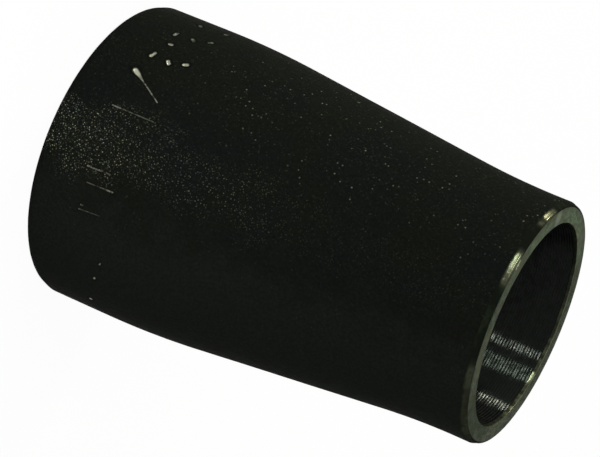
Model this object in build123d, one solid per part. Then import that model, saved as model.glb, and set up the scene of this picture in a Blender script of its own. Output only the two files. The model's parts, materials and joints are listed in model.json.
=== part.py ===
from build123d import *

import os
from math import atan, tan

# A concentric butt-welding pipe reducer: one seamless piece of steel that joins a wide pipe to a narrow one.
# It stands on its wide end. The origin is the centre of that end's face, and +Z runs up the bore.
# All sizes are in millimetres. Heights are measured up from the wide face, depths down from the narrow one.

# Pipe ends
WIDE_OUTER_DIAMETER = 33.7
WIDE_WALL = 2.6
NARROW_OUTER_DIAMETER = 26.9
NARROW_WALL = 2.3
LENGTH = 51.0

# Outside: the straight ends and the cone meet at two corners, each drawn out into a long bend.
# A bend's reach is how far it runs from its corner, along the straight end and along the cone.
SHOULDER_CORNER_HEIGHT = 13.0
SHOULDER_BEND_REACH = 5.1
NECK_CORNER_DEPTH = 6.4
NECK_BEND_REACH = 4.4

# Inside: both ends are bored straight, to line up with the pipes, and each bore runs out into the cone
WIDE_BORE_DEPTH = 8.0
NARROW_BORE_DEPTH = 10.0
BORE_RUNOUT_RADIUS = 12.0

# The faced ends: the outer edge has a long low bevel, and the bore's edge is only broken
BEVEL_LENGTH = 0.7
BEVEL_WIDTH = 0.45
BORE_EDGE_BREAK = 0.2

wide_outer_radius = WIDE_OUTER_DIAMETER / 2
wide_bore_radius = wide_outer_radius - WIDE_WALL
narrow_outer_radius = NARROW_OUTER_DIAMETER / 2
narrow_bore_radius = narrow_outer_radius - NARROW_WALL


def outside_line():
    """The outer wall from the wide end's bevel up to the narrow end's, as radius against height."""
    neck_corner_height = LENGTH - NECK_CORNER_DEPTH
    cone_rise = neck_corner_height - SHOULDER_CORNER_HEIGHT
    cone_angle = atan(abs(wide_outer_radius - narrow_outer_radius) / cone_rise)
    bend_reaches = [SHOULDER_BEND_REACH, NECK_BEND_REACH]
    return FilletPolyline(
        (wide_outer_radius, BEVEL_LENGTH),
        (wide_outer_radius, SHOULDER_CORNER_HEIGHT),
        (narrow_outer_radius, neck_corner_height),
        (narrow_outer_radius, LENGTH - BEVEL_LENGTH),
        radius=[reach / tan(cone_angle / 2) for reach in bend_reaches],
    )


def inside_line():
    """The bore's wall from the narrow end's edge down to the wide end's, as radius against height."""
    return FilletPolyline(
        (narrow_bore_radius, LENGTH - BORE_EDGE_BREAK),
        (narrow_bore_radius, LENGTH - NARROW_BORE_DEPTH),
        (wide_bore_radius, WIDE_BORE_DEPTH),
        (wide_bore_radius, BORE_EDGE_BREAK),
        radius=BORE_RUNOUT_RADIUS,
    )


def faced_end(outer_radius, bore_radius, face_height, inward):
    """One end from the outer wall to the bore: bevel, flat face and broken edge. Inward is +1 or -1 along Z."""
    return Polyline(
        (outer_radius, face_height + inward * BEVEL_LENGTH),
        (outer_radius - BEVEL_WIDTH, face_height),
        (bore_radius + BORE_EDGE_BREAK, face_height),
        (bore_radius, face_height + inward * BORE_EDGE_BREAK),
    )


def reducer_body():
    """The whole reducer: the section of its wall, turned once round the bore's axis."""
    with BuildPart() as body:
        with BuildSketch(Plane.XZ):
            with BuildLine():
                add(outside_line())
                add(faced_end(narrow_outer_radius, narrow_bore_radius, LENGTH, inward=-1))
                add(inside_line())
                add(faced_end(wide_outer_radius, wide_bore_radius, 0, inward=1))
            make_face()
        revolve(axis=Axis.Z)
    return body.part


os.makedirs("parts", exist_ok=True)
export_step(reducer_body(), "parts/reducer_body.step")
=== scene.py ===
"""Dresses the pipe reducer: its grainy black skin, its bare machined ends and its turned bores, in a pale studio."""

import json
import logging
import math
import random
from dataclasses import dataclass, field
from enum import Enum

import bpy
from mathutils import Matrix, Vector, noise


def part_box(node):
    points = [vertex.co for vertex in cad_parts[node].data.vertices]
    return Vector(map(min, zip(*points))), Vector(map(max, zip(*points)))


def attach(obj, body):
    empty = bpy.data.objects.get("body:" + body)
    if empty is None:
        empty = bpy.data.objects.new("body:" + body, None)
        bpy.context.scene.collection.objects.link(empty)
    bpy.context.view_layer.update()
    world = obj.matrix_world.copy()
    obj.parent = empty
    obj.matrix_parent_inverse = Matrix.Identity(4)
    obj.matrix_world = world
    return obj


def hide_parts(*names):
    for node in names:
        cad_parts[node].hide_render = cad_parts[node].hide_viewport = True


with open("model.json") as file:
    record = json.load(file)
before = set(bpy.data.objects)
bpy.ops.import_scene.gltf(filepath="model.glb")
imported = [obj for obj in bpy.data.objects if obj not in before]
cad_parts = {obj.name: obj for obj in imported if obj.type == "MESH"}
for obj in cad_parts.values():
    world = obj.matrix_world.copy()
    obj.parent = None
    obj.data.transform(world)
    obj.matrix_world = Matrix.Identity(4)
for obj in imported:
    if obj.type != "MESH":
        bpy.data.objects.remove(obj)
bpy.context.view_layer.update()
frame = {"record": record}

log = logging.getLogger("reducer")

Colour = tuple[float, float, float]
Socket = bpy.types.NodeSocket

MILLIMETRE = 0.001
END_RADIUS = 13.0 * MILLIMETRE
BODY_NODE = "reducer_body"

PHOTO_WIDTH = 600
SENSOR_WIDTH_MM = 36.0


def smooth_step(low: float, high: float, value: float) -> float:
    """Rises smoothly from 0 at low to 1 at high."""
    share = min(max((value - low) / (high - low), 0.0), 1.0)
    return share * share * (3.0 - 2.0 * share)


def on_cylinder(radius: float, angle: float, height: float) -> Vector:
    """The point at that radius, angle in radians and height about the reducer's axis."""
    return Vector((radius * math.cos(angle), radius * math.sin(angle), height))


class Finish(Enum):
    """The finishes that the one piece of steel shows, in the order of its material slots."""

    SKIN = 0
    FACED = 1
    BEVELLED = 2
    TURNED = 3
    FORMED = 4


@dataclass(frozen=True)
class BentWall:
    """A wall of the reducer: straight at both ends, a cone between, and a long bend at each of the cone's corners."""

    low_radius: float
    high_radius: float
    low_corner: float
    high_corner: float
    low_reach: float
    high_reach: float

    @property
    def cone_angle(self) -> float:
        """The angle between the cone and the axis."""
        return math.atan((self.low_radius - self.high_radius) / (self.high_corner - self.low_corner))

    def radius_at(self, height: float) -> float:
        """The wall's radius at a height above the wide face.

        Args:
            height: the height in metres.

        Returns:
            The radius in metres.
        """
        half_turn = math.tan(self.cone_angle / 2)
        along_cone = math.cos(self.cone_angle)
        low_start = self.low_corner - self.low_reach
        high_end = self.high_corner + self.high_reach
        if height <= low_start:
            return self.low_radius
        if height >= high_end:
            return self.high_radius
        if height < self.low_corner + self.low_reach * along_cone:
            bend = self.low_reach / half_turn
            return self.low_radius - bend + math.sqrt(bend**2 - (height - low_start) ** 2)
        if height > self.high_corner - self.high_reach * along_cone:
            bend = self.high_reach / half_turn
            return self.high_radius + bend - math.sqrt(bend**2 - (high_end - height) ** 2)
        return self.low_radius - (height - self.low_corner) * math.tan(self.cone_angle)


class Mark(Enum):
    """Plain punch marks, each as its strokes: from head to tail, in a cell from -1 to 1 both ways."""

    BAR = (((0.0, -1.0), (0.0, 1.0)),)
    SHORT_BAR = (((0.0, -0.5), (0.0, 0.55)),)
    TWIN_BARS = (((-0.5, -0.7), (-0.55, 0.45)), ((0.5, 0.75), (0.55, -0.5)))
    DOT = (((0.0, -0.04), (0.0, 0.04)),)
    TWIN_DOTS = (((-0.1, -0.65), (0.15, -0.6)), ((0.1, 0.55), (-0.2, 0.6)))
    THREE_DOTS = (((0.2, -0.8), (-0.15, -0.75)), ((0.3, 0.1), (0.1, 0.0)), ((-0.25, 0.8), (-0.15, 0.7)))


@dataclass(frozen=True)
class PunchMark:
    """One mark struck into the skin.

    The angle is in degrees from the side that faces the camera. Across runs round the reducer and up along it.
    """

    mark: Mark
    angle: float
    height: float
    half_width: float
    half_height: float
    tilt: float = 0.0
    depth: float = 1.0
    width: float = 1.0


@dataclass(frozen=True)
class Stroke:
    """One stroke of a punch mark on the unrolled wall. It is widest and deepest at its head."""

    head: Vector
    tail: Vector
    depth: float
    width: float


@dataclass
class PunchedRow:
    """The row of plain punch marks round the wide end. They are struck by hand, so they wander and lean."""

    wall: BentWall
    marks: tuple[PunchMark, ...]
    head_width: float = 0.62 * MILLIMETRE
    tail_width: float = 0.22 * MILLIMETRE
    head_reach: float = 2.0 * MILLIMETRE
    head_depth: float = 0.16 * MILLIMETRE
    tail_depth: float = 0.06 * MILLIMETRE
    # how bare a stroke's tail is struck, which also sets how bright its painted glint is
    tail_bare: float = 0.60
    rim_shade: float = -0.6
    lip_height: float = 0.03 * MILLIMETRE
    lip_width: float = 0.16 * MILLIMETRE
    strokes: list[Stroke] = field(default_factory=list)

    def __post_init__(self) -> None:
        """Lays every stroke out on the unrolled wall."""
        for struck in self.marks:
            for line in struck.mark.value:
                head, tail = (self.place(struck, point) for point in line)
                self.strokes.append(Stroke(head, tail, struck.depth, struck.width))

    def place(self, struck: PunchMark, point: tuple[float, float]) -> Vector:
        """A point of a mark on the unrolled wall: metres round it from the camera's side, and metres up."""
        across = point[0] * struck.half_width
        up = point[1] * struck.half_height
        lean = math.radians(struck.tilt)
        turned_across = across * math.cos(lean) - up * math.sin(lean)
        turned_up = across * math.sin(lean) + up * math.cos(lean)
        middle = math.radians(struck.angle) * self.wall.low_radius
        return Vector((middle + turned_across, struck.height + turned_up))

    def nearest(self, angle: float, height: float) -> tuple[float, float, Stroke]:
        """The stroke that is nearest to a point of the wall.

        Args:
            angle: radians from the side that faces the camera.
            height: metres above the wide face.

        Returns:
            The distance in metres, how far along the stroke that is from its head, and the stroke.
        """
        here = Vector((angle * self.wall.low_radius, height))
        best = (math.inf, 0.0, self.strokes[0])
        for stroke in self.strokes:
            run = stroke.tail - stroke.head
            share = min(max((here - stroke.head).dot(run) / run.length_squared, 0.0), 1.0)
            away = (here - stroke.head - run * share).length
            if away < best[0]:
                best = (away, share * run.length, stroke)
        return best

    def shape_at(self, away: float, along: float, stroke: Stroke) -> tuple[float, float]:
        """The wall's move at that distance from a stroke, and how bare it is struck there, which also paints its
        glint; just outside the stroke a negative number paints its rim's shadow.

        Args:
            away: the distance in metres.
            along: the way along the stroke from its head, in metres.
            stroke: the stroke.

        Returns:
            The outward move in metres, and the bareness from 0 to 1, or below 0 for the painted shadow round the
            stroke.
        """
        slim = smooth_step(0.0, self.head_reach, along)
        half = (self.head_width * stroke.width + (self.tail_width - self.head_width * stroke.width) * slim) / 2
        deep = self.head_depth + (self.tail_depth - self.head_depth) * slim
        sunk = 1.0 - smooth_step(0.1 * half, half, away)
        lip = max(1.0 - abs(away - half * 1.15) / self.lip_width, 0.0)
        raised = lip * lip * self.lip_height * (1.0 - sunk)
        bare = (1.0 - smooth_step(0.4 * half, 0.95 * half, away)) * (1.0 + (self.tail_bare - 1.0) * slim)
        # painted shadow: a dark ring just outside the stroke, carried as a negative number
        rim = max(1.0 - abs(away - 1.25 * half) / (0.6 * half), 0.0) * self.rim_shade
        return stroke.depth * (raised - sunk * deep), stroke.depth * bare if bare > 0.0 else rim


class MeshBook:
    """Collects the points, faces, finishes and sharp edges of one mesh."""

    def __init__(self) -> None:
        """Starts an empty mesh."""
        self.points: list[Vector] = []
        self.faces: list[list[int]] = []
        self.finishes: list[int] = []
        self.sharp: set[tuple[int, int]] = set()
        self.bare: dict[int, float] = {}

    def point(self, place: Vector) -> int:
        """Adds a point and returns its number."""
        self.points.append(place)
        return len(self.points) - 1

    def face(self, corners: list[int], finish: Finish) -> None:
        """Adds a face with its finish."""
        self.faces.append(corners)
        self.finishes.append(finish.value)

    def ring(self, places: list[Vector], sharp: bool = False) -> list[int]:
        """Adds a closed ring of points.

        Args:
            places: the points in order round the axis.
            sharp: whether the light breaks at the ring, as at a crest or a corner.

        Returns:
            The points' numbers.
        """
        numbers = [self.point(place) for place in places]
        if sharp:
            self.crease(numbers)
        return numbers

    def crease(self, ring: list[int]) -> None:
        """Marks a ring's edges as sharp."""
        for start, end in zip(ring, ring[1:] + ring[:1]):
            self.sharp.add((min(start, end), max(start, end)))

    def join(self, first: list[int], second: list[int], finish: Finish) -> None:
        """Joins two rings with a band of faces. One ring may have a whole number of times the other's points."""
        few = min(len(first), len(second))
        for step in range(few):
            low = self.stretch(first, step, len(first) // few)
            high = self.stretch(second, step, len(second) // few)
            self.face(low + high[::-1], finish)

    @staticmethod
    def stretch(ring: list[int], step: int, share: int) -> list[int]:
        """The ring's points along one of the coarser ring's segments."""
        start = step * share
        return [ring[(start + count) % len(ring)] for count in range(share + 1)]

    def mesh(self, name: str) -> bpy.types.Mesh:
        """The finished mesh, with its sharp edges and a number at each point for how bare it is, which also carries
        painted glints, painted shadow and painted fill light.

        Args:
            name: the mesh's name.

        Returns:
            The new mesh.
        """
        mesh = bpy.data.meshes.new(name)
        mesh.from_pydata(self.points, [], self.faces)
        mesh.polygons.foreach_set("material_index", self.finishes)
        mesh.polygons.foreach_set("use_smooth", [True] * len(self.faces))
        creased = [tuple(sorted(edge.vertices)) in self.sharp for edge in mesh.edges]
        mesh.edges.foreach_set("use_edge_sharp", creased)
        # bare: wear, bare struck steel and the face's share inwards, and also painted glints, the painted shadow
        # round the marks as negative numbers and the painted fill light on the bore's steep flanks
        wear_and_glint = mesh.attributes.new("bare", "FLOAT", "POINT")
        wear_and_glint.data.foreach_set("value", [self.bare.get(number, 0.0) for number in range(len(self.points))])
        mesh.update()
        return mesh


@dataclass(frozen=True)
class WearAndGlintPatch:
    """A stretch of an end's edges with bright wear, placed where the lamps' glints fall, so partly a painted glint.
    Its angles are degrees, its own from the camera's side.
    """

    angle: float
    reach: float
    level: float

    def at(self, angle: float) -> float:
        """How much bright wear, partly a painted glint, the edge has at an angle from the camera's side, from 0 to 1.
        """
        away = abs((angle - self.angle + 180.0) % 360.0 - 180.0)
        return self.level * (1.0 - smooth_step(0.2 * self.reach, self.reach, away))


@dataclass
class ReducerBody:
    """The whole reducer as one closed skin of steel: outer wall, faced ends, turned bores and formed cone."""

    outer: BentWall
    inner: BentWall
    length: float
    marks: PunchedRow
    seed: int = 7
    name: str = "reducer_shell"

    outer_segments: int = 288
    outer_rows: int = 126
    fine_steps: int = 6
    bore_segments: int = 144
    cone_rows: int = 36

    bevel_length: float = 0.70 * MILLIMETRE
    bevel_width: float = 0.45 * MILLIMETRE
    bevel_slope: float = 22.0
    bevel_flat: float = 0.68
    bevel_wander: float = 0.06 * MILLIMETRE
    bevel_rows: int = 8
    break_length: float = 0.36 * MILLIMETRE
    break_width: float = 0.17 * MILLIMETRE
    break_swell: float = 0.012 * MILLIMETRE
    break_rows: int = 5
    # bright wear on the narrow end's edges, centred where the lamps' glints fall: partly painted glint
    wear_and_glint_patches: tuple[WearAndGlintPatch, ...] = (
        WearAndGlintPatch(-58.0, 6.0, 0.6),
        WearAndGlintPatch(-53.5, 3.5, 0.9),
        WearAndGlintPatch(-48.0, 3.5, 0.3),
        WearAndGlintPatch(-23.5, 7.5, 1.0),
        WearAndGlintPatch(-16.0, 6.0, 0.6),
        WearAndGlintPatch(33.0, 12.0, 0.22),
        WearAndGlintPatch(58.0, 30.0, 0.17),
        WearAndGlintPatch(129.0, 4.0, 0.45),
        WearAndGlintPatch(153.0, 7.0, 1.0),
        WearAndGlintPatch(150.0, 62.0, 0.30),
        WearAndGlintPatch(-160.0, 30.0, 0.28),
    )
    face_rows: int = 9
    face_mark_depth: float = 0.004 * MILLIMETRE

    groove_pitch: float = 0.313 * MILLIMETRE
    groove_flank: float = 0.70
    groove_slopes: tuple[float, float] = (24.0, 20.2)
    groove_jitter: float = 1.0
    wide_bore_end: float = 7.44 * MILLIMETRE
    narrow_bore_end: float = 41.56 * MILLIMETRE

    swell: float = 0.012 * MILLIMETRE
    swell_size: float = 7.0 * MILLIMETRE
    dimple: float = 0.004 * MILLIMETRE
    dimple_size: float = 1.5 * MILLIMETRE
    fine_reach: float = 0.62 * MILLIMETRE

    def __post_init__(self) -> None:
        """Starts the mesh and the numbers that the wandering edges draw from."""
        self.book = MeshBook()
        self.chance = random.Random(self.seed)
        self.shift = Vector([self.chance.uniform(-5.0, 5.0) for _ in range(3)])

    def build(self) -> bpy.types.Object:
        """Builds the shell, dresses it and puts it in the place of the solid.

        Returns:
            The shell's object.
        """
        wide_edge, narrow_edge = self.outer_wall()
        lip = self.narrow_end(narrow_edge)
        mouth = self.inside(lip)
        self.wide_end(mouth, wide_edge)
        mesh = self.book.mesh(self.name)
        for finish in (BlackSkin(), FacedSteel(), BevelledSteel(), TurnedSteel(), FormedSteel()):
            mesh.materials.append(finish.material())
        shell = bpy.data.objects.new(self.name, mesh)
        bpy.context.scene.collection.objects.link(shell)
        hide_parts(BODY_NODE)
        return shell

    def wander(self, angle: float, turns: float, level: float) -> float:
        """Smooth noise from -1 to 1 round an edge, which closes on itself."""
        place = Vector((math.cos(angle), math.sin(angle), level)) * turns
        return noise.noise(place + self.shift)

    def wear_and_glint(self, angle: float) -> float:
        """How much bright wear, partly a painted glint, the narrow end's edges have at an angle in radians about the
        axis, from 0 to 1.
        """
        turned = math.degrees(self.from_camera(angle))
        patchy = 0.75 + 0.5 * self.wander(angle, 30.0, 0.2)
        return min(max(patch.at(turned) for patch in self.wear_and_glint_patches) * patchy, 1.0)

    def relief(self, place: Vector) -> float:
        """How far the skin stands out of its true form at a place, in metres, as forging and blasting left it."""
        broad = noise.noise(place / self.swell_size + self.shift)
        small = noise.noise(place / self.dimple_size - self.shift)
        return self.swell * (broad - 0.6) + self.dimple * (small - 0.5)

    def outer_wall(self) -> tuple[list[int], list[int]]:
        """The outer wall on a grid that is finer near the punch marks.

        Returns:
            The ring at the wide end's bevel, and the ring at the narrow end's.
        """
        fine = self.fine_steps
        columns = self.outer_segments
        grid: dict[tuple[int, int], int] = {}
        fine_cells = self.cells_near_marks()

        def at(column: int, row: int) -> int:
            """The number of the point at a place of the fine grid, which it makes the first time."""
            key = (column % (columns * fine), row)
            if key not in grid:
                grid[key] = self.wall_point(key[0] / fine, row / fine)
            return grid[key]

        for row in range(self.outer_rows):
            for column in range(columns):
                left, low = column * fine, row * fine
                if (column, row) in fine_cells:
                    for up in range(low, low + fine):
                        for across in range(left, left + fine):
                            square = ((across, up), (across + 1, up), (across + 1, up + 1), (across, up + 1))
                            self.book.face([at(*corner) for corner in square], Finish.SKIN)
                    continue
                below = self.side(fine_cells, (column, row - 1))
                right = self.side(fine_cells, ((column + 1) % columns, row))
                above = self.side(fine_cells, (column, row + 1))
                before = self.side(fine_cells, ((column - 1) % columns, row))
                corners = [at(left + step, low) for step in below]
                corners += [at(left + fine, low + step) for step in right]
                corners += [at(left + fine - step, low + fine) for step in above]
                corners += [at(left, low + fine - step) for step in before]
                self.book.face(corners, Finish.SKIN)
        wide = [at(column * fine, 0) for column in range(columns)]
        narrow = [at(column * fine, self.outer_rows * fine) for column in range(columns)]
        self.book.crease(wide)
        self.book.crease(narrow)
        return wide, narrow

    def side(self, fine_cells: set[tuple[int, int]], neighbour: tuple[int, int]) -> range:
        """The steps along a plain cell's side: all of them where the neighbour is fine, else only the corner."""
        return range(self.fine_steps) if neighbour in fine_cells else range(1)

    def cells_near_marks(self) -> set[tuple[int, int]]:
        """The cells of the plain grid that a stroke comes near."""
        near = set()
        ends = [end.y for stroke in self.marks.strokes for end in (stroke.head, stroke.tail)]
        highest = max(ends) + self.fine_reach
        lowest = min(ends) - self.fine_reach
        for row in range(1, self.outer_rows - 1):
            height = self.bevel_length + (self.length - 2 * self.bevel_length) * (row + 0.5) / self.outer_rows
            if not lowest < height < highest:
                continue
            for column in range(self.outer_segments):
                angle = self.from_camera(math.tau * (column + 0.5) / self.outer_segments)
                if self.marks.nearest(angle, height)[0] < self.fine_reach:
                    near.add((column, row))
        return near

    @staticmethod
    def from_camera(angle: float) -> float:
        """An angle from the +X axis as one from the camera's side, between minus and plus half a turn."""
        turned = angle + math.pi / 2
        return (turned + math.pi) % math.tau - math.pi

    def wall_point(self, column: float, row: float) -> int:
        """Adds the outer wall's point at a place of the plain grid, and returns its number."""
        angle = math.tau * column / self.outer_segments
        low = self.bevel_length + self.bevel_wander * self.wander(angle, 9.0, 0.1)
        high = self.length - self.bevel_length + self.bevel_wander * self.wander(angle, 9.0, 0.7)
        height = low + (high - low) * row / self.outer_rows
        place = on_cylinder(self.outer.radius_at(height), angle, height)
        move, bare = self.marks.shape_at(*self.marks.nearest(self.from_camera(angle), height))
        number = self.book.point(
            on_cylinder(self.outer.radius_at(height) + self.relief(place) + move, angle, height)
        )
        if bare != 0.0:
            self.book.bare[number] = bare
        return number

    def plain_ring(self, radius: float, height: float, segments: int, sharp: bool = False) -> list[int]:
        """A true circle about the axis."""
        places = [on_cylinder(radius, math.tau * step / segments, height) for step in range(segments)]
        return self.book.ring(places, sharp)

    def faced_rings(
        self, edge: list[int], outer: float, inner: float, height: float, inward: float
    ) -> list[list[int]]:
        """The rings of a faced end from the outer wall's edge to the bore's: bevel, flat face and broken edge.

        Args:
            edge: the ring where the bevel leaves the outer wall.
            outer: the outer wall's radius.
            inner: the bore's radius.
            height: the face's height.
            inward: +1 or -1, the way into the metal along the axis.

        Returns:
            The rings in order, the first one the edge itself.
        """
        rings = [edge]
        segments = len(edge)
        bare = [0.0 if inward > 0 else self.wear_and_glint(math.tau * step / segments) for step in range(segments)]
        face_outer = outer - self.bevel_width
        face_inner = inner + self.break_width
        for row in range(1, self.bevel_rows + 1):
            share = row / self.bevel_rows
            rise, fall = self.bevel_shape(share)
            places = []
            for step, number in enumerate(edge):
                angle = math.tau * step / segments
                start = self.book.points[number]
                start_radius = math.hypot(start.x, start.y)
                worn_radius = face_outer + 0.5 * self.bevel_wander * self.wander(angle, 14.0, 0.4)
                radius = start_radius + (worn_radius - start_radius) * fall
                places.append(on_cylinder(radius, angle, start.z + (height - start.z) * rise))
            ring = self.book.ring(places, sharp=row == self.bevel_rows)
            wear_and_glint = smooth_step(0.0, 0.25, share) * (1.0 - 0.8 * smooth_step(0.8, 1.0, share))
            self.book.bare.update({number: here * wear_and_glint for number, here in zip(ring, bare)})
            rings.append(ring)
        for row in range(1, self.face_rows + 1):
            share = row / self.face_rows
            sunk = self.face_mark_depth * (row % 2) * inward
            radius = face_outer + (face_inner - face_outer) * share
            last = row == self.face_rows
            ring = self.plain_ring(radius, height + (0.0 if last else sunk), segments, sharp=last)
            self.book.bare.update(dict.fromkeys(ring, smooth_step(0.0, 0.45, share)))
            rings.append(ring)
        for row in range(1, self.break_rows + 1):
            share = row / self.break_rows
            swell = math.sin(math.pi * share) * self.break_swell
            radius = inner + self.break_width * (1.0 - share) - swell
            level = height + inward * (self.break_length * share - 0.4 * swell)
            ring = self.plain_ring(radius, level, segments, sharp=row == self.break_rows)
            self.book.bare.update(zip(ring, bare))
            rings.append(ring)
        return rings

    def bevel_shape(self, share: float) -> tuple[float, float]:
        """The bevel's profile: a long stretch at a low slope, which then rounds over into the face.

        Args:
            share: the share of the bevel's rows from the outer wall, from 0 to 1.

        Returns:
            The share of the bevel's length and the share of its width that are passed there.
        """
        low_fall = self.bevel_flat * self.bevel_length * math.tan(math.radians(self.bevel_slope)) / self.bevel_width
        flat_rows = 0.5
        if share <= flat_rows:
            part = share / flat_rows
            return self.bevel_flat * part, low_fall * part
        turn = (share - flat_rows) / (1.0 - flat_rows) * math.pi / 2
        return (
            self.bevel_flat + (1.0 - self.bevel_flat) * math.sin(turn),
            low_fall + (1.0 - low_fall) * (1.0 - math.cos(turn)),
        )

    def narrow_end(self, edge: list[int]) -> list[int]:
        """The narrow end from its bevel to the bore's edge, whose ring it returns."""
        rings = self.faced_rings(edge, self.outer.high_radius, self.inner.high_radius, self.length, -1.0)
        self.band(rings)
        return rings[-1]

    def wide_end(self, mouth: list[int], edge: list[int]) -> None:
        """The wide end, made from the outer edge inwards and joined the other way round to the bore's last ring."""
        rings = self.faced_rings(edge, self.outer.low_radius, self.inner.low_radius, 0.0, 1.0)
        self.band(rings, turned=True)
        self.book.join(mouth, rings[-1], Finish.TURNED)

    def band(self, rings: list[list[int]], turned: bool = False) -> None:
        """Joins a faced end's rings, each stretch with its own finish.

        Args:
            rings: the rings from the bevel inwards.
            turned: whether the faces look down instead of up.
        """
        for number, (first, second) in enumerate(zip(rings, rings[1:])):
            on_face = self.bevel_rows <= number < self.bevel_rows + self.face_rows
            finish = Finish.FACED if on_face else Finish.BEVELLED
            if turned and number < self.bevel_rows:
                finish = Finish.SKIN
            pair = (second, first) if turned else (first, second)
            self.book.join(*pair, finish)

    def inside(self, lip: list[int]) -> list[int]:
        """The inside from the narrow end down: turned bore, formed cone and turned bore.

        Args:
            lip: the ring at the narrow bore's edge.

        Returns:
            The last ring, above the wide bore's edge.
        """
        last = self.turned_bore(lip, self.inner.high_radius, self.length - self.break_length, self.narrow_bore_end)
        for row in range(1, self.cone_rows + 1):
            share = row / self.cone_rows
            height = self.narrow_bore_end + (self.wide_bore_end - self.narrow_bore_end) * share
            ring = []
            for step in range(self.bore_segments):
                angle = math.tau * step / self.bore_segments
                place = on_cylinder(self.inner.radius_at(height), angle, height)
                away = math.sin(math.pi * share) * self.swell * (noise.noise(place / self.swell_size) - 0.3)
                ring.append(on_cylinder(self.inner.radius_at(height) - away, angle, height))
            ring_numbers = self.book.ring(ring, sharp=row == self.cone_rows)
            self.book.join(last, ring_numbers, Finish.FORMED)
            last = ring_numbers
        return self.turned_bore(last, self.inner.low_radius, self.wide_bore_end, self.break_length, faces_up=False)

    def turned_bore(
        self, start: list[int], radius: float, high: float, low: float, faces_up: bool = True
    ) -> list[int]:
        """A straight bore with the grooves that the boring tool left, from high down to low.

        Each groove has a long open flank, which faces the bore's mouth, and a short steep one.

        Args:
            start: the ring that the bore starts from.
            radius: the bore's radius, at the grooves' crests.
            high: the height where it starts.
            low: the height where it ends.
            faces_up: whether the mouth is at the top. If not, the last ring is left for the next band to make.

        Returns:
            The last ring.
        """
        grooves = round((high - low) / self.groove_pitch)
        pitch = (high - low) / grooves
        last = start
        for groove in range(grooves):
            lean = self.chance.uniform(-self.groove_jitter, self.groove_jitter)
            rings = self.groove_rings(pitch, lean, faces_up)
            if not faces_up and groove == grooves - 1:
                rings.pop()
            for down, sunk, sharp in rings:
                height = high - pitch * (groove + down)
                ring = self.plain_ring(radius + sunk, height, self.bore_segments, sharp)
                # 1 on the sharp rings, which marks the steep flanks that get painted fill light
                self.book.bare.update(dict.fromkeys(ring, float(sharp)))
                self.book.join(last, ring, Finish.TURNED)
                last = ring
        return last

    def groove_rings(self, pitch: float, lean: float, faces_up: bool) -> list[tuple[float, float, bool]]:
        """One groove's rings, from below the crest above it down to its own crest.

        Args:
            pitch: the groove's height.
            lean: degrees by which this groove's open flank is steeper than the usual one.
            faces_up: whether the open flank faces up.

        Returns:
            Each ring's share of the way down, how far it is sunk into the wall, and whether it is sharp.
        """
        half_flank = self.groove_flank / 2
        near_valley, near_crest = (
            pitch * half_flank * math.tan(math.radians(slope + lean)) for slope in self.groove_slopes
        )
        valley = (1.0 - self.groove_flank if faces_up else self.groove_flank, near_valley + near_crest, True)
        middle = (1.0 - half_flank if faces_up else half_flank, near_crest, False)
        crest = (1.0, 0.0, True)
        return [valley, middle, crest] if faces_up else [middle, valley, crest]


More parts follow.
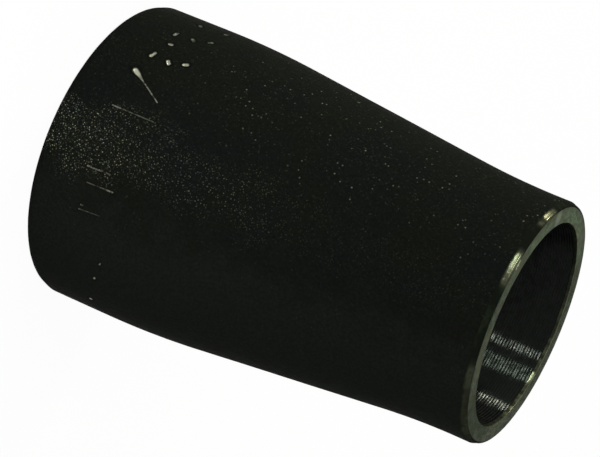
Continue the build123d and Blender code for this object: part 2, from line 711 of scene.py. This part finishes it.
class NodeBoard:
    """A material's node tree, with a short method for each kind of node that the finishes use."""

    def __init__(self, name: str) -> None:
        """Starts a material with an output and the object's own coordinates."""
        self.material = bpy.data.materials.new(name)
        self.material.use_nodes = True
        self.tree = self.material.node_tree
        self.tree.nodes.clear()
        self.output = self.tree.nodes.new("ShaderNodeOutputMaterial")
        self.place = self.tree.nodes.new("ShaderNodeTexCoord").outputs["Object"]

    def node(self, kind: str, **settings: object) -> bpy.types.Node:
        """Adds a node of that kind with its settings."""
        made = self.tree.nodes.new("ShaderNode" + kind)
        for name, value in settings.items():
            setattr(made, name, value)
        return made

    def feed(self, socket: Socket, value: Socket | float | Colour) -> None:
        """Links a socket to another one, or sets it to a number or colour."""
        if isinstance(value, bpy.types.NodeSocket):
            self.tree.links.new(value, socket)
        elif isinstance(value, tuple) and len(socket.default_value) == 4:
            socket.default_value = (*value, 1.0)
        else:
            socket.default_value = value

    def maths(self, operation: str, *values: Socket | float, clamp: bool = False) -> Socket:
        """A maths node of that operation on one to three values."""
        made = self.node("Math", operation=operation, use_clamp=clamp)
        for socket, value in zip(made.inputs, values):
            self.feed(socket, value)
        return made.outputs[0]

    def noise(self, size: float, detail: float = 2.0, rough: float = 0.5, place: Socket | None = None) -> Socket:
        """Smooth noise from 0 to 1 whose features are about that size in metres."""
        made = self.node("TexNoise")
        self.feed(made.inputs["Vector"], place or self.place)
        made.inputs["Scale"].default_value = 1.0 / size
        made.inputs["Detail"].default_value = detail
        made.inputs["Roughness"].default_value = rough
        return made.outputs["Fac"]

    def cells(self, size: float, feature: str = "F1", place: Socket | None = None) -> bpy.types.Node:
        """A Voronoi node whose cells are about that size in metres."""
        made = self.node("TexVoronoi", feature=feature)
        self.feed(made.inputs["Vector"], place or self.place)
        made.inputs["Scale"].default_value = 1.0 / size
        return made

    def between(self, value: Socket, low: float, high: float, to_low: float = 0.0, to_high: float = 1.0) -> Socket:
        """Maps a value smoothly from one range to another, and holds it there."""
        made = self.node("MapRange", interpolation_type="SMOOTHSTEP")
        for name, given in (
            ("Value", value),
            ("From Min", low),
            ("From Max", high),
            ("To Min", to_low),
            ("To Max", to_high),
        ):
            self.feed(made.inputs[name], given)
        return made.outputs["Result"]

    def mix(self, share: Socket | float, first: Socket | Colour, second: Socket | Colour) -> Socket:
        """Mixes two colours."""
        made = self.node("Mix", data_type="RGBA")
        self.feed(made.inputs[0], share)
        self.feed(made.inputs[6], first)
        self.feed(made.inputs[7], second)
        return made.outputs[2]

    def bump(self, height: Socket, depth: float, strength: float = 1.0, normal: Socket | None = None) -> Socket:
        """A normal bent by a height from 0 to 1 that stands for that depth in metres."""
        made = self.node("Bump")
        made.inputs["Strength"].default_value = strength
        made.inputs["Distance"].default_value = depth
        self.feed(made.inputs["Height"], height)
        if normal:
            self.feed(made.inputs["Normal"], normal)
        return made.outputs["Normal"]

    def attribute(self, name: str) -> Socket:
        """A number that the mesh's points carry."""
        return self.node("Attribute", attribute_name=name).outputs["Fac"]

    def sides(self) -> list[Socket]:
        """The place's X, Y and Z."""
        apart = self.node("SeparateXYZ")
        self.feed(apart.inputs[0], self.place)
        return list(apart.outputs)

    def angle_here(self) -> Socket:
        """The angle about the axis from the side that faces the camera, in degrees."""
        across, back, _ = self.sides()
        turn = self.maths("ARCTAN2", across, self.maths("MULTIPLY", back, -1.0))
        return self.maths("MULTIPLY", turn, math.degrees(1.0))

    def radius_here(self) -> Socket:
        """The distance from the reducer's axis."""
        squares = [self.maths("MULTIPLY", side, side) for side in self.sides()[:2]]
        return self.maths("SQRT", self.maths("ADD", *squares))

    def drawn_round(self, around: float, across: float) -> Socket:
        """The place for a noise that is drawn out round the axis.

        Args:
            around: how long its features are round the axis, in metres.
            across: how wide they are towards the axis.

        Returns:
            The place, for a noise of size 1.
        """
        radius = self.radius_here()
        joined = self.node("CombineXYZ")
        for socket, side in zip(joined.inputs, self.sides()[:2]):
            self.feed(socket, self.maths("MULTIPLY", self.maths("DIVIDE", side, radius), END_RADIUS / around))
        self.feed(joined.inputs[2], self.maths("DIVIDE", radius, across))
        return joined.outputs[0]

    def specks(self, size: float, radius: float, rarity: float) -> Socket:
        """Round specks strewn at random, each as bright as chance has it.

        Args:
            size: the cells' size in metres, with one speck in each.
            radius: the largest radius of a speck.
            rarity: how rare the bright ones are. At 1 every brightness is as common.

        Returns:
            The brightness from 0 to 1.
        """
        cell = self.cells(size)
        near = self.between(cell.outputs["Distance"], 0.35 * radius / size, radius / size, 1.0, 0.0)
        apart = self.node("SeparateColor")
        self.feed(apart.inputs[0], cell.outputs["Color"])
        return self.maths("MULTIPLY", near, self.maths("POWER", apart.outputs[0], rarity))

    def distance_to(self, point: Vector) -> Socket:
        """The distance from a point, in metres."""
        made = self.node("VectorMath", operation="DISTANCE")
        self.feed(made.inputs[0], self.place)
        made.inputs[1].default_value = point
        return made.outputs["Value"]

    def surface(
        self, colour: Socket | Colour, rough: Socket | float, metal: Socket | float, specular: float
    ) -> bpy.types.Node:
        """The principled surface, linked to the output."""
        made = self.node("BsdfPrincipled")
        self.feed(made.inputs["Base Color"], colour)
        self.feed(made.inputs["Roughness"], rough)
        self.feed(made.inputs["Metallic"], metal)
        made.inputs["Specular IOR Level"].default_value = specular
        self.tree.links.new(made.outputs[0], self.output.inputs["Surface"])
        return made


@dataclass(frozen=True)
class BlackSkin:
    """The outer skin: near black, with a fine blasted grain, and painted glints on the grain along one side under a
    painted highlight.
    """

    bluish: Colour = (0.0055, 0.0065, 0.0059)
    olive: Colour = (0.0060, 0.0068, 0.0053)
    # painted sheen on the browner side, and painted fill light on the plainer side where the lamps give less
    painted_sheen_tone: Colour = (0.0068, 0.0079, 0.0059)
    painted_fill_tone: Colour = (0.0087, 0.0100, 0.0083)
    # a dark colour for the painted shadow round the marks, and for the darker grit of the skin's tone
    shade: Colour = (0.0018, 0.0021, 0.0020)
    # pale powder on the grain, also laid thicker as part of the painted highlight
    dust_and_highlight: Colour = (0.036, 0.039, 0.027)
    # colours of the painted glints on the grain
    yellow_glint: Colour = (0.27, 0.275, 0.16)
    grey_glint: Colour = (0.21, 0.245, 0.225)
    # bare struck steel, made bright enough to stand in for its glints: partly a painted glint
    struck: Colour = (0.40, 0.41, 0.31)
    # where the painted highlight band lies round the skin, in degrees
    highlight_angle: float = -1.0
    highlight_core: float = 5.0
    highlight_reach: float = 17.0
    grain: float = 0.42 * MILLIMETRE
    specular: float = 0.001

    def material(self) -> bpy.types.Material:
        """Builds the material."""
        board = NodeBoard("black_skin")
        # painted highlight: a band of the skin near the wide end made brighter, as if light caught its grain
        painted_highlight = self.highlight_band(board)
        # the side where a few more painted glints are strewn and the powdering is a little thicker
        left = board.between(board.angle_here(), -30.0, 0.0, 1.0, 0.0)
        left = board.maths("MULTIPLY", left, board.between(board.angle_here(), -170.0, -130.0))
        mark = board.attribute("bare")
        struck = board.maths("MAXIMUM", mark, 0.0)
        colour = board.mix(self.dusting_and_highlight(board, painted_highlight, left), self.tone(board), self.dust_and_highlight)
        # painted glints: bright specks that stand in for the grain catching the light
        grain_glints = self.grain_glints(board, painted_highlight, left)
        tint = board.mix(board.between(board.noise(1.3 * MILLIMETRE), 0.4, 0.6), self.yellow_glint, self.grey_glint)
        colour = board.mix(grain_glints, colour, tint)
        # painted shadow round each mark, where its number is below 0
        colour = board.mix(board.maths("MULTIPLY", mark, -1.0, clamp=True), colour, self.shade)
        patchy = board.between(board.noise(0.45 * MILLIMETRE, 2.0), 0.36, 0.58, 0.15, 1.0)
        patchy = board.maths("MAXIMUM", patchy, board.between(struck, 0.55, 0.9))
        # bare struck steel in the marks, partly a painted glint at their heads
        colour = board.mix(board.maths("MULTIPLY", board.maths("POWER", struck, 1.7), patchy), colour, self.struck)
        rough = board.between(board.noise(1.2 * MILLIMETRE, 2.0), 0.3, 0.7, 0.48, 0.60)
        rough = board.maths("SUBTRACT", rough, board.maths("MULTIPLY", struck, 0.26))
        surface = board.surface(colour, rough, board.maths("MULTIPLY", struck, 0.9), self.specular)
        coarse = board.cells(self.grain, "SMOOTH_F1").outputs["Distance"]
        fine = board.noise(0.16 * MILLIMETRE, 1.0)
        lumps = board.maths("ADD", board.maths("MULTIPLY", coarse, -1.0), board.maths("MULTIPLY", fine, 0.3))
        lumps = board.maths("MULTIPLY", lumps, board.maths("SUBTRACT", 1.0, struck, clamp=True))
        board.feed(surface.inputs["Normal"], board.bump(lumps, 0.07 * MILLIMETRE))
        return board.material

    def tone(self, board: NodeBoard) -> Socket:
        """The skin's dark tone: bluish and olive clouds, with a browner side lightened as painted sheen and a plainer
        side lightened as painted fill light.
        """
        angle = board.angle_here()
        clouds = board.noise(7.0 * MILLIMETRE, 3.0)
        middle = board.mix(board.between(clouds, 0.38, 0.62), self.bluish, self.olive)
        edge = board.between(board.noise(3.0 * MILLIMETRE, 3.0), 0.3, 0.7, -5.0, 5.0)
        wavy = board.maths("ADD", angle, edge)
        # painted sheen: the browner side is made lighter, as a sheen would make it
        colour = board.mix(board.between(wavy, -76.0, -40.0, 1.0, 0.0), middle, self.painted_sheen_tone)
        # painted fill light: the plainer side and the back are made lighter where the lamps light them less
        right = board.maths("MAXIMUM", board.between(wavy, 8.0, 36.0), board.between(wavy, -170.0, -130.0, 1.0, 0.0))
        colour = board.mix(right, colour, self.painted_fill_tone)
        grit = board.noise(0.26 * MILLIMETRE, 2.0)
        # darker grit, a random tone, uses the same dark colour
        return board.mix(board.between(grit, 0.36, 0.64, 0.0, 0.30), colour, self.shade)

    def highlight_band(self, board: NodeBoard) -> Socket:
        """Where the painted highlight falls: most along one side near the wide end, and less and less above."""
        height = board.sides()[2]
        uneven = board.between(board.noise(3.5 * MILLIMETRE, 2.0), 0.3, 0.7, -4.0, 4.0)
        turned = board.maths("SUBTRACT", board.maths("ADD", board.angle_here(), uneven), self.highlight_angle)
        band = board.between(board.maths("ABSOLUTE", turned), self.highlight_core, self.highlight_reach, 1.0, 0.0)
        low = board.between(height, 4.0 * MILLIMETRE, 16.0 * MILLIMETRE, 1.0, 0.34)
        high = board.between(height, 19.0 * MILLIMETRE, 31.0 * MILLIMETRE, 1.0, 0.22)
        return board.maths("MULTIPLY", band, board.maths("MULTIPLY", low, high))

    @staticmethod
    def dusting_and_highlight(board: NodeBoard, painted_highlight: Socket, left: Socket) -> Socket:
        """The grain's fine pale powdering, laid thicker under the painted highlight as part of it."""
        grit = board.noise(0.17 * MILLIMETRE, 1.0)
        start = board.maths("SUBTRACT", 0.70, board.maths("MULTIPLY", painted_highlight, 0.15))
        start = board.maths("SUBTRACT", start, board.maths("MULTIPLY", left, 0.05))
        return board.maths("MULTIPLY", board.maths("SUBTRACT", grit, start), 5.0, clamp=True)

    @staticmethod
    def grain_glints(board: NodeBoard, painted_highlight: Socket, left: Socket) -> Socket:
        """Painted glints on the grain: many under the painted highlight, and a few strewn on one side of that."""
        many = board.maths("MULTIPLY", board.specks(0.23 * MILLIMETRE, 0.080 * MILLIMETRE, 1.7), painted_highlight)
        cloud = board.between(board.noise(4.0 * MILLIMETRE, 2.0), 0.38, 0.60, 0.15, 1.0)
        above = board.between(board.sides()[2], 10.0 * MILLIMETRE, 17.0 * MILLIMETRE, 0.2, 1.0)
        where = board.maths("MULTIPLY", left, board.maths("MULTIPLY", cloud, above))
        few = board.maths("MULTIPLY", board.specks(0.58 * MILLIMETRE, 0.125 * MILLIMETRE, 2.5), where)
        return board.maths("MAXIMUM", many, board.maths("MULTIPLY", few, 0.45))


@dataclass(frozen=True)
class FacedSteel:
    """The flat ends as the lathe faced them: bare grey-green steel with fine round tool marks and olive stains."""

    # the dull and pale colours are mixed by the painted sheen and by streaks round the axis
    dull: Colour = (0.024, 0.028, 0.013)
    pale: Colour = (0.098, 0.126, 0.076)
    olive: Colour = (0.064, 0.067, 0.032)
    dark_olive: Colour = (0.018, 0.028, 0.006)
    # painted highlight: a pale spot on the face near the bore
    painted_highlight: Colour = (0.17, 0.19, 0.155)
    # painted glint: a ragged bright spot where the bevel's glint spills onto the face
    painted_glint: Colour = (0.55, 0.55, 0.40)
    edge_tint: Colour = (0.26, 0.30, 0.23)
    mark_pitch: float = 0.11 * MILLIMETRE
    dark_olive_stretches: tuple[tuple[float, float, float], ...] = ((70.0, 34.0, 1.1), (182.0, 62.0, 0.9))
    highlight_at: Vector = on_cylinder(12.2 * MILLIMETRE, math.radians(-156.0), 51.0 * MILLIMETRE)
    glint_at: Vector = on_cylinder(13.0 * MILLIMETRE, math.radians(-113.2), 51.0 * MILLIMETRE)

    def material(self) -> bpy.types.Material:
        """Builds the material."""
        board = NodeBoard("faced_steel")
        turns = board.maths("MULTIPLY", board.radius_here(), math.tau / self.mark_pitch)
        wave = board.maths("SINE", board.maths("ADD", turns, board.noise(6.0 * MILLIMETRE, 2.0)))
        colour = self.colour(board)
        rough = board.between(board.noise(0.8 * MILLIMETRE, 2.0), 0.3, 0.7, 0.34, 0.5)
        surface = board.surface(colour, rough, 0.6, 0.1)
        board.feed(surface.inputs["Specular Tint"], self.edge_tint)
        height = board.maths("MULTIPLY_ADD", wave, 0.5, 0.5)
        grit = board.bump(board.noise(0.2 * MILLIMETRE, 2.0), 0.010 * MILLIMETRE)
        board.feed(surface.inputs["Normal"], board.bump(height, 0.004 * MILLIMETRE, normal=grit))
        return board.material

    def colour(self, board: NodeBoard) -> Socket:
        """The face's tone: a painted sheen that makes it pale towards one side and duller opposite, streaked round
        the axis, stained, darker olive in stretches, darker towards the bevel, with a painted highlight spot and a
        painted glint.
        """
        across = board.sides()[0]
        # painted sheen: the face is paler towards one side
        sheen_side = board.between(across, -12.0 * MILLIMETRE, 5.0 * MILLIMETRE, 0.33, -0.12)
        streaks = board.noise(1.0, 3.0, 0.6, board.drawn_round(1.1 * MILLIMETRE, 0.35 * MILLIMETRE))
        shade = board.maths("ADD", sheen_side, board.between(streaks, 0.34, 0.66, 0.0, 0.72))
        inner = board.maths("MULTIPLY_ADD", board.attribute("bare"), 0.45, 0.55)
        colour = board.mix(board.maths("MULTIPLY", shade, inner, clamp=True), self.dull, self.pale)
        stains = board.between(board.noise(2.2 * MILLIMETRE, 3.0), 0.46, 0.60, 0.0, 0.75)
        colour = board.mix(stains, colour, self.olive)
        colour = board.mix(self.olive_darkening(board), colour, self.dark_olive)
        # painted highlight spot on the face
        spot = board.between(board.distance_to(self.highlight_at), 0.3 * MILLIMETRE, 1.1 * MILLIMETRE, 0.8, 0.0)
        colour = board.mix(spot, colour, self.painted_highlight)
        # painted glint at the bevel's edge, with a ragged outline
        ragged = board.between(board.noise(0.5 * MILLIMETRE, 2.0), 0.3, 0.7, -0.2 * MILLIMETRE, 0.2 * MILLIMETRE)
        away = board.maths("ADD", board.distance_to(self.glint_at), ragged)
        return board.mix(board.between(away, 0.1 * MILLIMETRE, 0.65 * MILLIMETRE, 1.0, 0.0), colour, self.painted_glint)

    def olive_darkening(self, board: NodeBoard) -> Socket:
        """How much darker olive the face is: in stretches round it, and there most of all near the bore."""
        shares = []
        for angle, reach, level in self.dark_olive_stretches:
            away = board.maths("ABSOLUTE", board.maths("SUBTRACT", board.angle_here(), angle))
            away = board.maths("MINIMUM", away, board.maths("SUBTRACT", 360.0, away))
            shares.append(board.between(away, 0.35 * reach, reach, level, 0.0))
        patchy = board.between(board.noise(1.5 * MILLIMETRE, 2.0), 0.3, 0.6, 0.55, 1.0)
        olive_darkening = board.maths("MULTIPLY", board.maths("MAXIMUM", *shares), patchy)
        near_bore = board.between(board.radius_here(), 11.4 * MILLIMETRE, 12.0 * MILLIMETRE, 1.5, 1.0)
        return board.maths("MULTIPLY", olive_darkening, near_bore, clamp=True)


@dataclass(frozen=True)
class BevelledSteel:
    """The bevels and broken edges: bright wear in patches, placed where glints fall and so partly painted glint, and
    dark green scale between them.
    """

    scale: Colour = (0.0055, 0.0068, 0.0048)
    green: Colour = (0.0105, 0.0145, 0.0080)
    # bright wear, partly a painted glint
    wear_and_glint: Colour = (0.130, 0.135, 0.088)
    edge_tint: Colour = (0.35, 0.36, 0.25)

    def material(self) -> bpy.types.Material:
        """Builds the material."""
        board = NodeBoard("bevelled_steel")
        streaks = board.noise(1.0, 3.0, 0.5, board.drawn_round(0.9 * MILLIMETRE, 0.22 * MILLIMETRE))
        wear_and_glint = board.maths("MULTIPLY", board.attribute("bare"), board.between(streaks, 0.25, 0.6, 0.45, 1.0))
        clouds = board.between(board.noise(2.4 * MILLIMETRE, 2.0), 0.42, 0.62)
        colour = board.mix(board.maths("MULTIPLY", clouds, board.between(streaks, 0.3, 0.6)), self.scale, self.green)
        colour = board.mix(wear_and_glint, colour, self.wear_and_glint)
        metal = board.between(wear_and_glint, 0.05, 0.5)
        rough = board.between(streaks, 0.3, 0.7, 0.50, 0.60)
        rough = board.maths("SUBTRACT", rough, board.maths("MULTIPLY", metal, 0.30))
        surface = board.surface(colour, rough, metal, 0.001)
        board.feed(surface.inputs["Specular Tint"], self.edge_tint)
        board.feed(surface.inputs["Normal"], board.bump(streaks, 0.02 * MILLIMETRE))
        return board.material


@dataclass(frozen=True)
class TurnedSteel:
    """The turned bores: dark oily steel whose grooves catch the light in streaks, with painted fill light on their
    steep flanks.
    """

    dark: Colour = (0.0070, 0.0080, 0.0075)
    clean: Colour = (0.0084, 0.0094, 0.0083)
    edge_tint: Colour = (0.12, 0.12, 0.12)
    oily_metal: float = 0.16
    clean_metal: float = 0.66
    # painted fill light: a lighter colour on the grooves' steep flanks, which the light reaches less
    painted_fill: Colour = (0.0240, 0.0262, 0.0238)

    def material(self) -> bpy.types.Material:
        """Builds the material."""
        board = NodeBoard("turned_steel")
        smear = board.noise(1.6 * MILLIMETRE, 3.0)
        colour = board.mix(board.between(smear, 0.3, 0.7), self.dark, self.clean)
        rough = board.between(board.noise(0.5 * MILLIMETRE, 2.0), 0.3, 0.7, 0.09, 0.15)
        film = board.noise(0.7 * MILLIMETRE, 3.0, 0.6)
        # the steep flanks get painted fill light and less metal
        steep = board.maths("POWER", board.attribute("bare"), 4.0, clamp=True)
        colour = board.mix(steep, colour, self.painted_fill)
        metal = board.between(film, 0.34, 0.62, self.oily_metal, self.clean_metal)
        metal = board.maths("MULTIPLY", metal, board.maths("MULTIPLY_ADD", steep, -0.8, 1.0))
        surface = board.surface(colour, rough, metal, 0.0)
        board.feed(surface.inputs["Specular Tint"], self.edge_tint)
        board.feed(surface.inputs["Normal"], board.bump(board.noise(0.25 * MILLIMETRE, 2.0), 0.003 * MILLIMETRE))
        return board.material


@dataclass(frozen=True)
class FormedSteel:
    """The cone inside, as it was formed: black scale, never machined."""

    dark: Colour = (0.0045, 0.0048, 0.0042)
    brown: Colour = (0.010, 0.0085, 0.006)

    def material(self) -> bpy.types.Material:
        """Builds the material."""
        board = NodeBoard("formed_steel")
        colour = board.mix(board.between(board.noise(3.0 * MILLIMETRE, 4.0), 0.4, 0.7), self.dark, self.brown)
        surface = board.surface(colour, 0.6, 0.0, 0.12)
        board.feed(surface.inputs["Normal"], board.bump(board.noise(0.6 * MILLIMETRE, 3.0), 0.05 * MILLIMETRE))
        return board.material


@dataclass(frozen=True)
class SoftLamp:
    """A soft lamp that looks at the reducer from a direction. Angles are degrees from the camera's side."""

    name: str
    azimuth: float
    elevation: float
    distance: float
    width: float
    height: float
    power: float
    colour: Colour = (1.0, 1.0, 1.0)
    aim_height: float = 0.050

    def build(self) -> bpy.types.Object:
        """Makes the lamp and returns it."""
        turn, rise = math.radians(self.azimuth), math.radians(self.elevation)
        back = Vector((math.sin(turn) * math.cos(rise), -math.cos(turn) * math.cos(rise), math.sin(rise)))
        data = bpy.data.lights.new(self.name, "AREA")
        data.shape = "RECTANGLE"
        data.size, data.size_y = self.width, self.height
        data.energy, data.color = self.power, self.colour
        lamp = bpy.data.objects.new(self.name, data)
        lamp.location = back * self.distance + Vector((0.0, 0.0, self.aim_height))
        lamp.rotation_euler = (-back).to_track_quat("-Z", "Y").to_euler()
        lamp.visible_camera = False
        bpy.context.scene.collection.objects.link(lamp)
        return lamp


@dataclass
class Studio:
    """The pale studio round the reducer: a floor that keeps its shadow, a plain white world and soft lamps."""

    floor_size: float = 4.0
    floor_drop: float = 0.00002
    floor_white: Colour = (0.9, 0.9, 0.9)
    floor_glow: float = 0.95
    world_level: float = 0.70
    lamps: tuple[SoftLamp, ...] = (
        SoftLamp("low_lamp", 3.0, 0.0, 0.060, 0.030, 0.010, 0.006, aim_height=0.006),
        SoftLamp("side_lamp", -101.0, 2.0, 0.090, 0.030, 0.010, 0.012, (1.0, 0.95, 0.85), aim_height=0.006),
        SoftLamp("front_lamp", -28.0, 26.0, 0.5, 0.058, 0.024, 0.37, (1.0, 1.0, 0.93)),
        SoftLamp("broad_lamp", -53.5, 24.0, 0.5, 0.138, 0.024, 0.48, (0.89, 1.0, 0.86)),
        SoftLamp("warm_lamp", -104.0, 15.0, 0.5, 0.10, 0.024, 1.12, (1.0, 0.93, 0.82)),
    )

    def build(self) -> None:
        """Makes the floor, the world and the lamps."""
        self.build_floor()
        self.build_world()
        for lamp in self.lamps:
            lamp.build()
            log.info("lamp %s at %.0f, %.0f degrees", lamp.name, lamp.azimuth, lamp.elevation)

    @staticmethod
    def seen_directly(board_node: bpy.types.Node, tree: bpy.types.NodeTree) -> Socket:
        """1 for the rays that show the background: from the camera, off gloss or through glass."""
        total = tree.nodes.new("ShaderNodeMath")
        total.operation = "ADD"
        tree.links.new(board_node.outputs["Is Camera Ray"], total.inputs[0])
        tree.links.new(board_node.outputs["Is Glossy Ray"], total.inputs[1])
        whole = tree.nodes.new("ShaderNodeMath")
        whole.operation = "ADD"
        whole.use_clamp = True
        tree.links.new(total.outputs[0], whole.inputs[0])
        tree.links.new(board_node.outputs["Is Transmission Ray"], whole.inputs[1])
        return whole.outputs[0]

    def build_floor(self) -> bpy.types.Object:
        """The floor that the wide end stands on."""
        half = self.floor_size / 2
        corners = [(-half, -half, 0.0), (half, -half, 0.0), (half, half, 0.0), (-half, half, 0.0)]
        mesh = bpy.data.meshes.new("studio_floor")
        mesh.from_pydata(corners, [], [(0, 1, 2, 3)])
        board = NodeBoard("pale_floor")
        tree = board.tree
        diffuse = board.node("BsdfDiffuse")
        diffuse.inputs["Color"].default_value = (*self.floor_white, 1.0)
        glow = board.node("Emission")
        mixed = board.node("MixShader")
        seen = self.seen_directly(board.node("LightPath"), tree)
        tree.links.new(board.maths("MULTIPLY", seen, self.floor_glow), mixed.inputs[0])
        tree.links.new(diffuse.outputs[0], mixed.inputs[1])
        tree.links.new(glow.outputs[0], mixed.inputs[2])
        tree.links.new(mixed.outputs[0], board.output.inputs["Surface"])
        mesh.materials.append(board.material)
        floor = bpy.data.objects.new("studio_floor", mesh)
        floor.location.z = -self.floor_drop
        bpy.context.scene.collection.objects.link(floor)
        return floor

    def build_world(self) -> None:
        """A plain white world, at full white only where it is seen."""
        world = bpy.data.worlds.new("studio_world")
        bpy.context.scene.world = world
        world.use_nodes = True
        tree = world.node_tree
        back = tree.nodes["Background"]
        back.inputs["Color"].default_value = (1.0, 1.0, 1.0, 1.0)
        seen = self.seen_directly(tree.nodes.new("ShaderNodeLightPath"), tree)
        level = tree.nodes.new("ShaderNodeMapRange")
        level.inputs["To Min"].default_value = self.world_level
        tree.links.new(seen, level.inputs["Value"])
        tree.links.new(level.outputs["Result"], back.inputs["Strength"])


@dataclass(frozen=True)
class PhotoCamera:
    """The photograph's view: from in front and above, rolled so that the reducer lies across the frame."""

    aim_height: float = 0.02372
    distance: float = 0.26718
    elevation: float = 21.21
    roll: float = 112.98
    focal_pixels: float = 2503.5

    def build(self) -> bpy.types.Object:
        """Makes the camera, sets it as the scene's and returns it."""
        rise = math.radians(self.elevation)
        back = Vector((0.0, -math.cos(rise), math.sin(rise)))
        data = bpy.data.cameras.new("photo_camera")
        data.sensor_width = SENSOR_WIDTH_MM
        data.lens = SENSOR_WIDTH_MM * self.focal_pixels / PHOTO_WIDTH
        data.clip_start, data.clip_end = 0.01, 10.0
        camera = bpy.data.objects.new("photo_camera", data)
        upright = (-back).to_track_quat("-Z", "Y").to_matrix()
        rolled = upright @ Matrix.Rotation(math.radians(self.roll), 3, "Z")
        camera.matrix_world = Matrix.Translation(Vector((0.0, 0.0, self.aim_height)) + back * self.distance) @ rolled.to_4x4()
        bpy.context.scene.collection.objects.link(camera)
        bpy.context.scene.camera = camera
        return camera


def punched_row(wall: BentWall) -> PunchedRow:
    """The marks on the wide end, from the frame's top round to its bottom."""
    size = 2.5 * MILLIMETRE
    rows = (
        (Mark.TWIN_DOTS, -71.0, 7.9, 12.0, 0.34, 1.0),
        (Mark.THREE_DOTS, -56.5, 7.8, 10.0, 0.52, 0.9),
        (Mark.DOT, -48.0, 6.6, 0.0, 0.8, 0.9),
        (Mark.THREE_DOTS, -40.0, 7.9, 0.0, 0.88, 1.0),
        (Mark.BAR, -26.0, 7.7, -31.0, 1.0, 1.3),
        (Mark.BAR, -14.4, 8.1, 0.0, 0.52, 0.42),
        (Mark.TWIN_BARS, 11.5, 7.6, 0.0, 0.52, 0.45),
        (Mark.SHORT_BAR, 24.5, 7.4, 4.0, 0.34, 0.42),
        (Mark.DOT, 23.0, 6.4, 0.0, 0.42, 0.5),
        (Mark.DOT, 43.5, 9.4, 60.0, 0.5, 0.5),
        (Mark.DOT, 52.0, 8.6, 50.0, 0.8, 0.6),
        (Mark.DOT, 68.5, 7.2, 50.0, 0.95, 0.8),
    )
    marks = tuple(
        PunchMark(mark, angle, height * MILLIMETRE, 0.62 * size, size, tilt, depth, width)
        for mark, angle, height, tilt, depth, width in rows
    )
    return PunchedRow(wall, marks)


def build_reducer() -> bpy.types.Object:
    """Reads the driving sizes off the frame, and builds the reducer's shell on them."""
    low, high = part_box(BODY_NODE)
    bores = {mount["name"]: mount["dims"] for mount in frame["record"]["mounts"]}
    outer = BentWall(
        high.x, 13.45 * MILLIMETRE, 13.0 * MILLIMETRE, high.z - 6.4 * MILLIMETRE, 5.1 * MILLIMETRE, 4.4 * MILLIMETRE
    )
    inner = BentWall(
        bores["wide_bore"]["r_mm"] * MILLIMETRE,
        bores["narrow_bore"]["r_mm"] * MILLIMETRE,
        8.0 * MILLIMETRE,
        high.z - 10.0 * MILLIMETRE,
        0.56 * MILLIMETRE,
        0.56 * MILLIMETRE,
    )
    return ReducerBody(outer, inner, high.z, punched_row(outer)).build()


def main() -> None:
    """Builds the studio, the camera and the reducer."""
    logging.basicConfig(level=logging.INFO, format="%(message)s")
    bpy.context.scene.view_settings.view_transform = "Standard"
    PhotoCamera().build()
    Studio().build()
    shell = build_reducer()
    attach(shell, "root")
    log.info("piece %s with %d faces", shell.name, len(shell.data.polygons))


if __name__ == "__main__":
    main()
